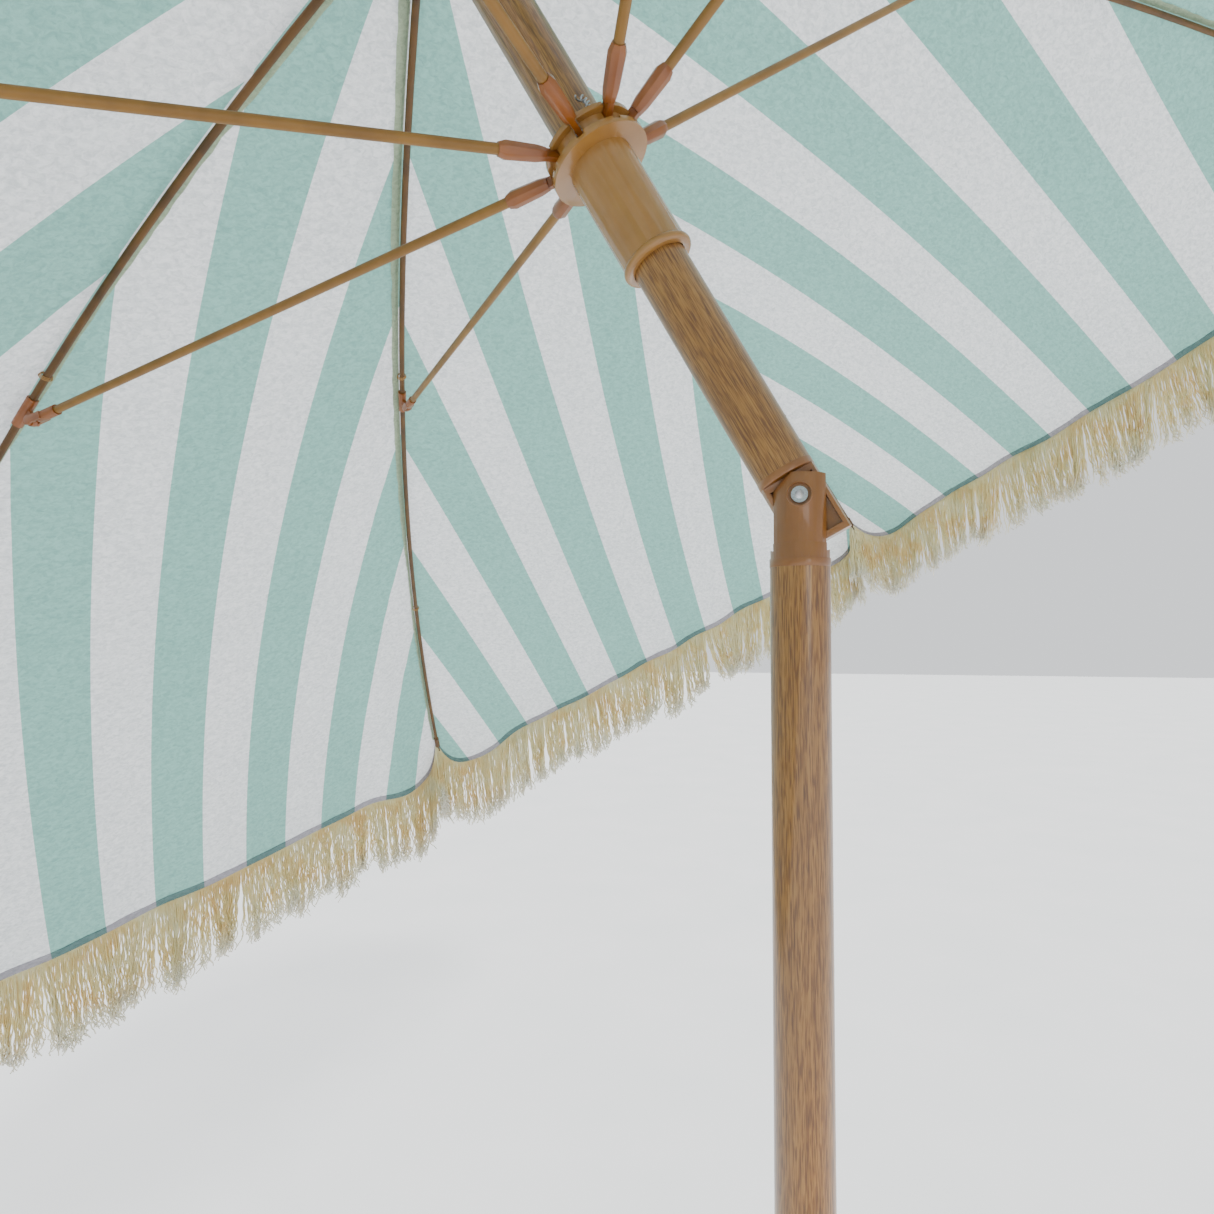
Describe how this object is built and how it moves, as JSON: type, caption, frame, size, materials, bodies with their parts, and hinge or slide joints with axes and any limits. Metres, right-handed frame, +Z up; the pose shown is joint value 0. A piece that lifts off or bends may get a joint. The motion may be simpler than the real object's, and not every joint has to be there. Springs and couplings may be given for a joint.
{
  "type": "beach umbrella",
  "caption": "Tilting beach umbrella with a striped, fringed fabric canopy on bent ribs and struts, a sliding runner and a two-section wood-look pole.",
  "frame": {"origin": "centre of the pole's lower end", "axes": "+Z up along the lower pole; the tilt hinge lies along Y and the canopy leans towards -X"},
  "size_m": [1.8435, 2.0832, 2.1249],
  "materials": {
    "wood_print": "semi-gloss wood-grain film on steel tube",
    "caramel_plastic": "moulded, semi-gloss",
    "tan_plastic": "moulded, glossy",
    "terracotta_plastic": "moulded, satin",
    "ochre_coating": "satin powder coat",
    "brown_coating": "satin powder coat",
    "zinc_steel": "bright zinc plate",
    "canopy_fabric": "matt woven polyester, striped mint and white"
  },
  "bodies": {
    "root": {"ground_pole": "wood_print", "pole_foot": "caramel_plastic", "pole_coupler": "caramel_plastic", "lower_pole": "wood_print", "tilt_fork": "caramel_plastic", "tilt_rivet": "zinc_steel"},
    "upper": {"tilt_tongue": "caramel_plastic", "upper_pole": "wood_print", "hub": "caramel_plastic", "hub_wire": "zinc_steel", "finial": "caramel_plastic"},
    "runner_body": {"runner": "tan_plastic", "runner_wire": "zinc_steel"},
    "rib_body_1": {"rib_1": "brown_coating", "rib_fittings_1": "terracotta_plastic", "canopy_1": "canopy_fabric"},
    "strut_body_1": {"strut_1": "ochre_coating", "strut_ends_1": "terracotta_plastic"},
    "rib_body_2": {"rib_2": "brown_coating", "rib_fittings_2": "terracotta_plastic", "canopy_2": "canopy_fabric"},
    "strut_body_2": {"strut_2": "ochre_coating", "strut_ends_2": "terracotta_plastic"},
    "rib_body_3": {"rib_3": "brown_coating", "rib_fittings_3": "terracotta_plastic", "canopy_3": "canopy_fabric"},
    "strut_body_3": {"strut_3": "ochre_coating", "strut_ends_3": "terracotta_plastic"},
    "rib_body_4": {"rib_4": "brown_coating", "rib_fittings_4": "terracotta_plastic", "canopy_4": "canopy_fabric"},
    "strut_body_4": {"strut_4": "ochre_coating", "strut_ends_4": "terracotta_plastic"},
    "rib_body_5": {"rib_5": "brown_coating", "rib_fittings_5": "terracotta_plastic", "canopy_5": "canopy_fabric"},
    "strut_body_5": {"strut_5": "ochre_coating", "strut_ends_5": "terracotta_plastic"},
    "rib_body_6": {"rib_6": "brown_coating", "rib_fittings_6": "terracotta_plastic", "canopy_6": "canopy_fabric"},
    "strut_body_6": {"strut_6": "ochre_coating", "strut_ends_6": "terracotta_plastic"},
    "rib_body_7": {"rib_7": "brown_coating", "rib_fittings_7": "terracotta_plastic", "canopy_7": "canopy_fabric"},
    "strut_body_7": {"strut_7": "ochre_coating", "strut_ends_7": "terracotta_plastic"},
    "rib_body_8": {"rib_8": "brown_coating", "rib_fittings_8": "terracotta_plastic", "canopy_8": "canopy_fabric"},
    "strut_body_8": {"strut_8": "ochre_coating", "strut_ends_8": "terracotta_plastic"}
  },
  "joints": [
    {"name": "tilt", "type": "hinge", "parent": "root", "child": "upper", "pos_m": [0, 0, 1.56], "axis": [0, 1, 0], "range_deg": [0, 29]},
    {"name": "runner_slide", "type": "slide", "parent": "upper", "child": "runner_body", "axis": [-0.4848, 0, 0.8746], "range_m": [-0.07, 0]},
    {"name": "rib_fold_1", "type": "hinge", "parent": "upper", "child": "rib_body_1", "pos_m": [-0.18382, 0.01035, 1.91945], "axis": [-0.5324, 0.7934, -0.2951], "range_deg": [0, 6.1], "deforming": ["canopy_1"]},
    {"name": "strut_swing_1", "type": "hinge", "parent": "runner_body", "child": "strut_body_1", "pos_m": [-0.08814, 0.01157, 1.7501], "axis": [-0.5324, 0.7934, -0.2951], "range_deg": [-4.36, 0]},
    {"name": "rib_fold_2", "type": "hinge", "parent": "upper", "child": "rib_body_2", "pos_m": [-0.19368, 0.01685, 1.91398], "axis": [-0.8671, 0.1305, -0.4807], "range_deg": [0, 6.1], "deforming": ["canopy_2"]},
    {"name": "strut_swing_2", "type": "hinge", "parent": "runner_body", "child": "strut_body_2", "pos_m": [-0.09916, 0.01884, 1.744], "axis": [-0.8671, 0.1305, -0.4807], "range_deg": [-4.36, 0]},
    {"name": "rib_fold_3", "type": "hinge", "parent": "upper", "child": "rib_body_3", "pos_m": [-0.20467, 0.01349, 1.90789], "axis": [-0.6939, -0.6088, -0.3846], "range_deg": [0, 6.1], "deforming": ["canopy_3"]},
    {"name": "strut_swing_3", "type": "hinge", "parent": "runner_body", "child": "strut_body_3", "pos_m": [-0.11144, 0.01507, 1.73719], "axis": [-0.6939, -0.6088, -0.3846], "range_deg": [-4.36, 0]},
    {"name": "rib_fold_4", "type": "hinge", "parent": "upper", "child": "rib_body_4", "pos_m": [-0.21036, 0.00222, 1.90474], "axis": [-0.1142, -0.9914, -0.0633], "range_deg": [0, 6.1], "deforming": ["canopy_4"]},
    {"name": "strut_swing_4", "type": "hinge", "parent": "runner_body", "child": "strut_body_4", "pos_m": [-0.1178, 0.00248, 1.73366], "axis": [-0.1142, -0.9914, -0.0633], "range_deg": [-4.36, 0]},
    {"name": "rib_fold_5", "type": "hinge", "parent": "upper", "child": "rib_body_5", "pos_m": [-0.20742, -0.01035, 1.90637], "axis": [0.5324, -0.7934, 0.2951], "range_deg": [0, 6.1], "deforming": ["canopy_5"]},
    {"name": "strut_swing_5", "type": "hinge", "parent": "runner_body", "child": "strut_body_5", "pos_m": [-0.11451, -0.01157, 1.73549], "axis": [0.5324, -0.7934, 0.2951], "range_deg": [-4.36, 0]},
    {"name": "rib_fold_6", "type": "hinge", "parent": "upper", "child": "rib_body_6", "pos_m": [-0.19756, -0.01685, 1.91183], "axis": [0.8671, -0.1305, 0.4807], "range_deg": [0, 6.1], "deforming": ["canopy_6"]},
    {"name": "strut_swing_6", "type": "hinge", "parent": "runner_body", "child": "strut_body_6", "pos_m": [-0.10349, -0.01884, 1.74159], "axis": [0.8671, -0.1305, 0.4807], "range_deg": [-4.36, 0]},
    {"name": "rib_fold_7", "type": "hinge", "parent": "upper", "child": "rib_body_7", "pos_m": [-0.18657, -0.01349, 1.91793], "axis": [0.6939, 0.6088, 0.3846], "range_deg": [0, 6.1], "deforming": ["canopy_7"]},
    {"name": "strut_swing_7", "type": "hinge", "parent": "runner_body", "child": "strut_body_7", "pos_m": [-0.09121, -0.01507, 1.7484], "axis": [0.6939, 0.6088, 0.3846], "range_deg": [-4.36, 0]},
    {"name": "rib_fold_8", "type": "hinge", "parent": "upper", "child": "rib_body_8", "pos_m": [-0.18088, -0.00222, 1.92108], "axis": [0.1142, 0.9914, 0.0633], "range_deg": [0, 6.1], "deforming": ["canopy_8"]},
    {"name": "strut_swing_8", "type": "hinge", "parent": "runner_body", "child": "strut_body_8", "pos_m": [-0.08485, -0.00248, 1.75193], "axis": [0.1142, 0.9914, 0.0633], "range_deg": [-4.36, 0]}
  ],
  "couplings": [
    {"joint": "rib_fold_1", "follows": "runner_slide", "rad_per_m": -1.471},
    {"joint": "strut_swing_1", "follows": "runner_slide", "rad_per_m": 1.0371},
    {"joint": "rib_fold_2", "follows": "runner_slide", "rad_per_m": -1.471},
    {"joint": "strut_swing_2", "follows": "runner_slide", "rad_per_m": 1.0371},
    {"joint": "rib_fold_3", "follows": "runner_slide", "rad_per_m": -1.471},
    {"joint": "strut_swing_3", "follows": "runner_slide", "rad_per_m": 1.0371},
    {"joint": "rib_fold_4", "follows": "runner_slide", "rad_per_m": -1.471},
    {"joint": "strut_swing_4", "follows": "runner_slide", "rad_per_m": 1.0371},
    {"joint": "rib_fold_5", "follows": "runner_slide", "rad_per_m": -1.471},
    {"joint": "strut_swing_5", "follows": "runner_slide", "rad_per_m": 1.0371},
    {"joint": "rib_fold_6", "follows": "runner_slide", "rad_per_m": -1.471},
    {"joint": "strut_swing_6", "follows": "runner_slide", "rad_per_m": 1.0371},
    {"joint": "rib_fold_7", "follows": "runner_slide", "rad_per_m": -1.471},
    {"joint": "strut_swing_7", "follows": "runner_slide", "rad_per_m": 1.0371},
    {"joint": "rib_fold_8", "follows": "runner_slide", "rad_per_m": -1.471},
    {"joint": "strut_swing_8", "follows": "runner_slide", "rad_per_m": 1.0371}
  ]
}
